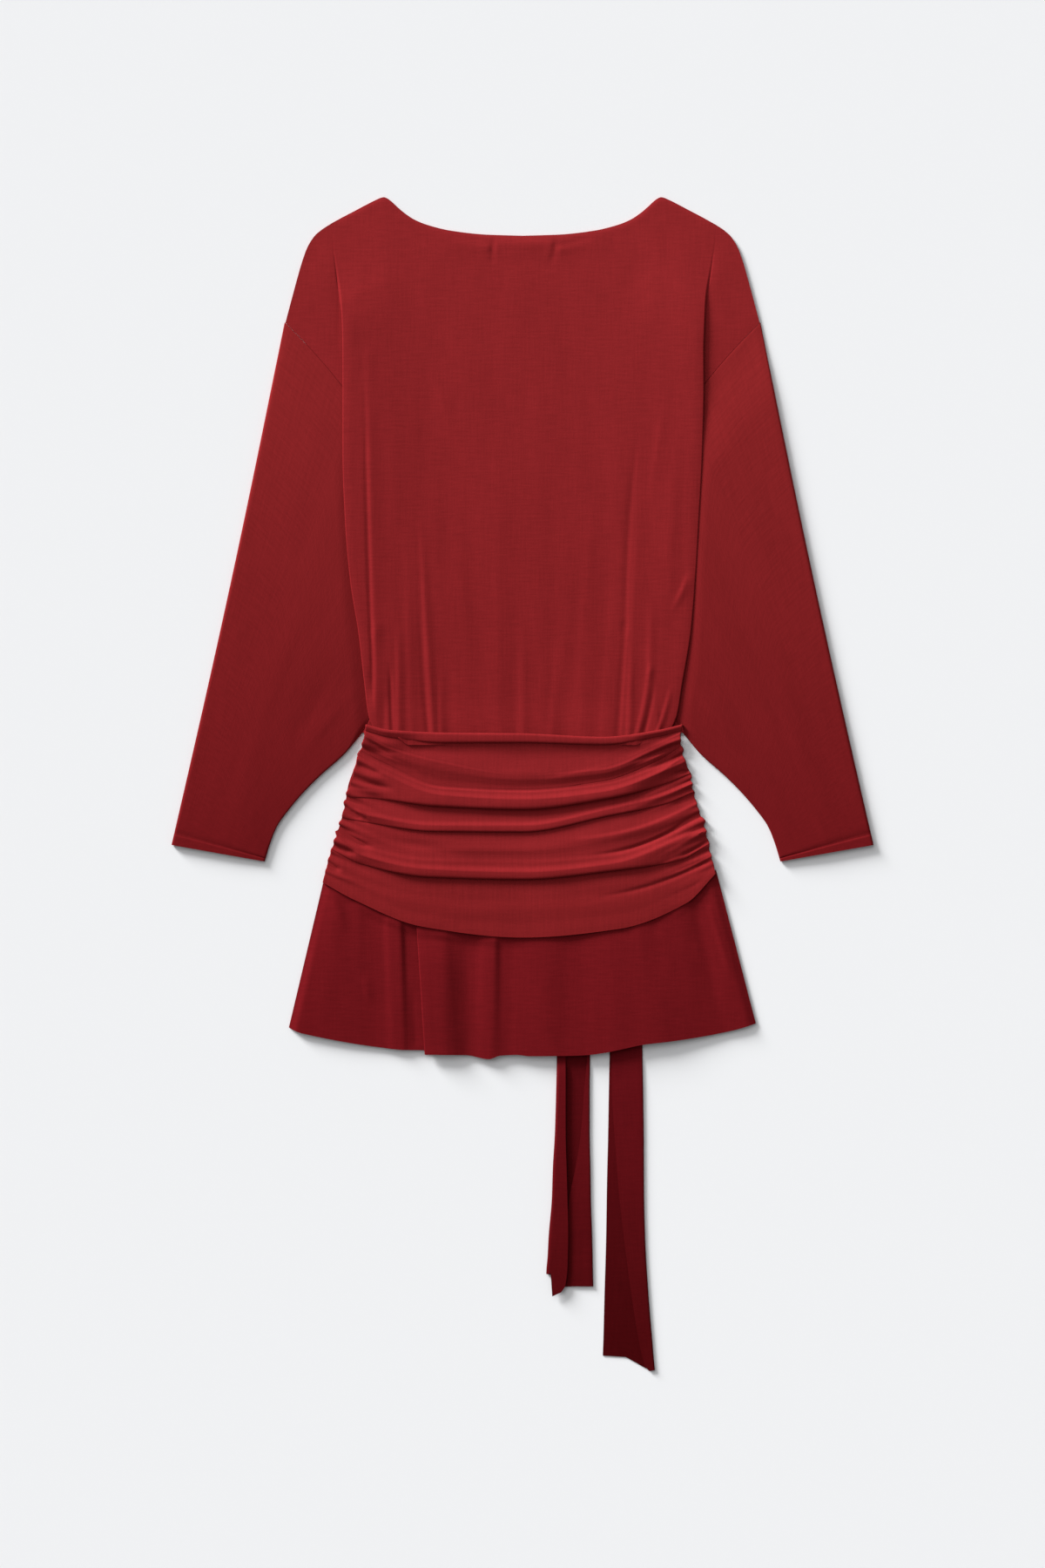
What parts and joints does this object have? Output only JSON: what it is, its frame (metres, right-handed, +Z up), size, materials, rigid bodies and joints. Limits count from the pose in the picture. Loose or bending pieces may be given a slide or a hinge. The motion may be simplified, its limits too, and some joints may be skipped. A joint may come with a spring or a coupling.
{
  "type": "mini dress",
  "caption": "Long-sleeved mini dress laid flat, back upwards: boat neck, dropped shoulders, loose bodice, ruched waist band, short flounce and loose hanging ties.",
  "frame": {"origin": "middle of the outline, on the surface that the dress lies on", "axes": "+Z up out of the surface, +Y along the dress from hem to neck, +X to the right as seen from above"},
  "size_m": [0.685, 1.1461, 0.0129],
  "materials": {
    "bodice_jersey": "matte fine jersey, dark red",
    "band_jersey": "matte fine jersey, dark red",
    "flounce_jersey": "matte fine jersey, darker red",
    "tie_jersey": "matte fine jersey, darkest red"
  },
  "bodies": {
    "root": {"bodice_front": "bodice_jersey", "bodice_back": "bodice_jersey", "sleeve_left": "bodice_jersey", "sleeve_right": "bodice_jersey", "band_front": "band_jersey", "band_back": "band_jersey", "flounce_front": "flounce_jersey", "flounce_back": "flounce_jersey", "tie_left": "tie_jersey", "tie_right": "tie_jersey"}
  },
  "joints": []
}
